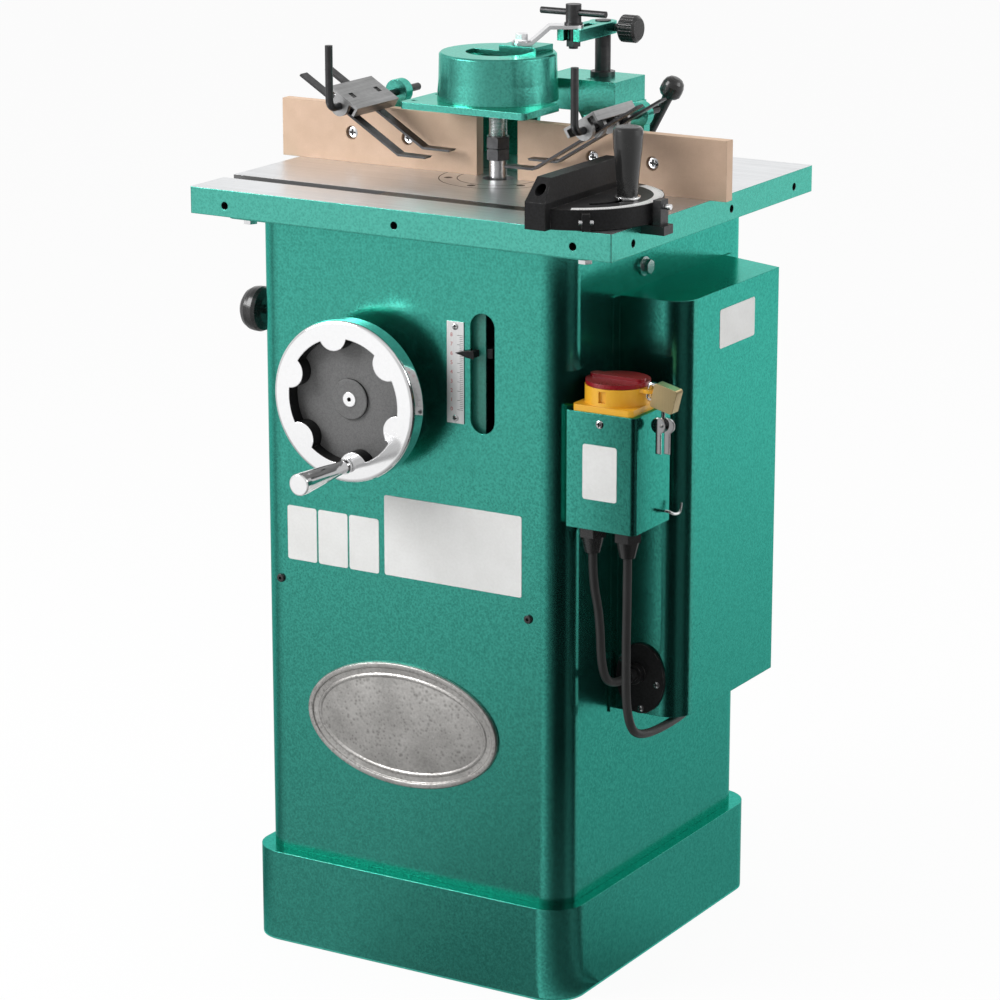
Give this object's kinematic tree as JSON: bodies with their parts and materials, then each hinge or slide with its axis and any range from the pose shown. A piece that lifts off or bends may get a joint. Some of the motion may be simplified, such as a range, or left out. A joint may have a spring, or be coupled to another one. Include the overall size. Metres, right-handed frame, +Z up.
{
  "type": "spindle moulder",
  "caption": "Floor-standing spindle moulder with a ground table, split fence, guard hood, finger hold-downs, mitre gauge and a geared spindle lift.",
  "frame": {"origin": "centre of the plinth on the floor", "axes": "+Z up, +X right as the user faces the fence, +Y back, so the handwheel side faces -Y"},
  "size_m": [0.5909, 0.5761, 1.039],
  "materials": {
    "green_enamel": "hammered gloss enamel",
    "ground_iron": "surface ground",
    "zinc_steel": "zinc plated",
    "steel": "turned",
    "scale_face": "satin",
    "black_enamel": "satin enamel",
    "grey_enamel": "satin enamel",
    "motor_paint": "matt",
    "bare_casting": "as cast",
    "bronze": "turned",
    "yellow_plastic": "gloss",
    "red_plastic": "gloss",
    "black_plastic": "satin",
    "brass": "brushed",
    "rubber": "matt",
    "chrome": "polished",
    "mdf": "sanded"
  },
  "bodies": {
    "frame": {"plinth": "green_enamel", "cabinet_shell": "green_enamel", "frame_bolts": "zinc_steel", "scale_plate": "scale_face", "table": "ground_iron", "table_insert": "ground_iron", "motor_cover": "green_enamel", "lead_cover": "black_enamel", "switch_box": "green_enamel", "switch_collar": "yellow_plastic", "key_hook": "steel", "motor_lead": "rubber", "supply_lead": "rubber", "cable_glands": "black_plastic", "slide_column": "bare_casting", "shaft_bushing": "bronze"},
    "carriage": {"carriage": "bare_casting", "carriage_bushes": "bronze", "height_pointer": "black_enamel", "slot_shield": "green_enamel", "motor": "motor_paint", "motor_plate": "motor_paint", "drive_belt": "rubber"},
    "spindle": {"spindle": "steel", "spindle_nuts": "steel"},
    "motor_rotor": {"motor_pulley": "bare_casting"},
    "lift_screw": {"lift_screw": "steel", "bevel_gear": "steel"},
    "handwheel": {"handwheel_rim": "chrome", "handwheel_web": "grey_enamel", "handwheel_shaft": "steel", "bevel_pinion": "steel"},
    "crank": {"crank_handle": "chrome"},
    "lock": {"lock_knob": "black_plastic"},
    "switch": {"switch_handle": "red_plastic"},
    "padlock": {"padlock_body": "brass", "padlock_shackle": "steel"},
    "fence": {"fence_casting": "green_enamel", "guard_post": "steel"},
    "left_board": {"left_board": "mdf", "left_screws": "zinc_steel"},
    "right_board": {"right_board": "mdf", "right_screws": "zinc_steel"},
    "lever": {"fence_lock_lever": "black_enamel"},
    "left_hold": {"left_hold_rod": "zinc_steel", "left_channel": "zinc_steel", "left_fingers": "zinc_steel"},
    "right_hold": {"right_hold_rod": "zinc_steel", "right_channel": "zinc_steel", "right_fingers": "zinc_steel"},
    "guard": {"guard_plate": "green_enamel", "guard_hood": "green_enamel", "guard_link": "zinc_steel", "guard_arm": "green_enamel"},
    "guard_knob": {"guard_knob": "black_plastic"},
    "tee": {"guard_t_handle": "black_enamel"},
    "mitre": {"mitre_bar": "black_enamel"},
    "mitre_head": {"mitre_head": "black_enamel"},
    "mitre_handle": {"mitre_handle": "black_plastic"}
  },
  "joints": [
    {"name": "lift", "type": "slide", "parent": "frame", "child": "carriage", "axis": [0, 0, 1], "range_m": [-0.05, 0.026]},
    {"name": "motor_spin", "type": "hinge", "parent": "carriage", "child": "motor_rotor", "pos_m": [0.183, 0.025, 0.652], "axis": [0, 0, 1], "continuous": true},
    {"name": "spindle_spin", "type": "hinge", "parent": "carriage", "child": "spindle", "pos_m": [0, -0.017, 0.7], "axis": [0, 0, 1], "continuous": true},
    {"name": "screw_turn", "type": "hinge", "parent": "frame", "child": "lift_screw", "pos_m": [-0.048, 0.028, 0.7], "axis": [0, 0, 1], "range_deg": [-1872, 3600]},
    {"name": "wheel_turn", "type": "hinge", "parent": "frame", "child": "handwheel", "pos_m": [-0.048, -0.245, 0.645], "axis": [0, 1, 0], "range_deg": [-3600, 1872]},
    {"name": "crank_spin", "type": "hinge", "parent": "handwheel", "child": "crank", "pos_m": [-0.044, -0.3, 0.576], "axis": [0, 1, 0], "continuous": true},
    {"name": "lock_turn", "type": "hinge", "parent": "frame", "child": "lock", "pos_m": [-0.215, -0.154, 0.707], "axis": [1, 0, 0], "range_deg": [0, 180]},
    {"name": "switch_turn", "type": "hinge", "parent": "frame", "child": "switch", "pos_m": [0.2335, -0.166, 0.684], "axis": [0, 0, 1], "range_deg": [0, 90]},
    {"name": "padlock_swing", "type": "hinge", "parent": "frame", "child": "padlock", "pos_m": [0.2734, -0.173, 0.68], "axis": [0, 1, 0], "range_deg": [-18, 0]},
    {"name": "fence_slide", "type": "slide", "parent": "frame", "child": "fence", "axis": [0, 1, 0], "range_m": [-0.008, 0.03]},
    {"name": "left_board_slide", "type": "slide", "parent": "fence", "child": "left_board", "axis": [1, 0, 0], "range_m": [-0.018, 0.012]},
    {"name": "right_board_slide", "type": "slide", "parent": "fence", "child": "right_board", "axis": [1, 0, 0], "range_m": [-0.008, 0.018]},
    {"name": "lever_turn", "type": "hinge", "parent": "fence", "child": "lever", "pos_m": [0.126, 0.084, 0.884], "axis": [0, 1, 0], "range_deg": [-20, 25]},
    {"name": "left_hold_turn", "type": "hinge", "parent": "fence", "child": "left_hold", "pos_m": [-0.152, -0.05, 0.928], "axis": [0, 1, 0], "range_deg": [-18, 0]},
    {"name": "right_hold_turn", "type": "hinge", "parent": "fence", "child": "right_hold", "pos_m": [0.152, -0.05, 0.928], "axis": [0, 1, 0], "range_deg": [0, 18]},
    {"name": "guard_drop", "type": "slide", "parent": "fence", "child": "guard", "axis": [0, 0, 1], "range_m": [-0.01, 0]},
    {"name": "guard_knob_turn", "type": "hinge", "parent": "guard", "child": "guard_knob", "pos_m": [0.095, 0.098, 1.0065], "axis": [1, 0, 0], "range_deg": [0, 180]},
    {"name": "tee_turn", "type": "hinge", "parent": "guard", "child": "tee", "pos_m": [0.066, 0.031, 1.02], "axis": [0, 0, 1], "range_deg": [-90, 90]},
    {"name": "mitre_slide", "type": "slide", "parent": "frame", "child": "mitre", "axis": [1, 0, 0], "range_m": [-0.045, 0.06]},
    {"name": "mitre_swivel", "type": "hinge", "parent": "mitre", "child": "mitre_head", "pos_m": [0.18, -0.156, 0.858], "axis": [0, 0, 1], "range_deg": [-45, 45]},
    {"name": "mitre_handle_turn", "type": "hinge", "parent": "mitre", "child": "mitre_handle", "pos_m": [0.237, -0.156, 0.9], "axis": [0, 0, 1], "range_deg": [-180, 180]}
  ],
  "couplings": [
    {"joint": "spindle_spin", "follows": "motor_spin", "ratio": 2.1885},
    {"joint": "screw_turn", "follows": "lift", "rad_per_m": -1256.6},
    {"joint": "wheel_turn", "follows": "lift", "rad_per_m": 1256.6}
  ]
}
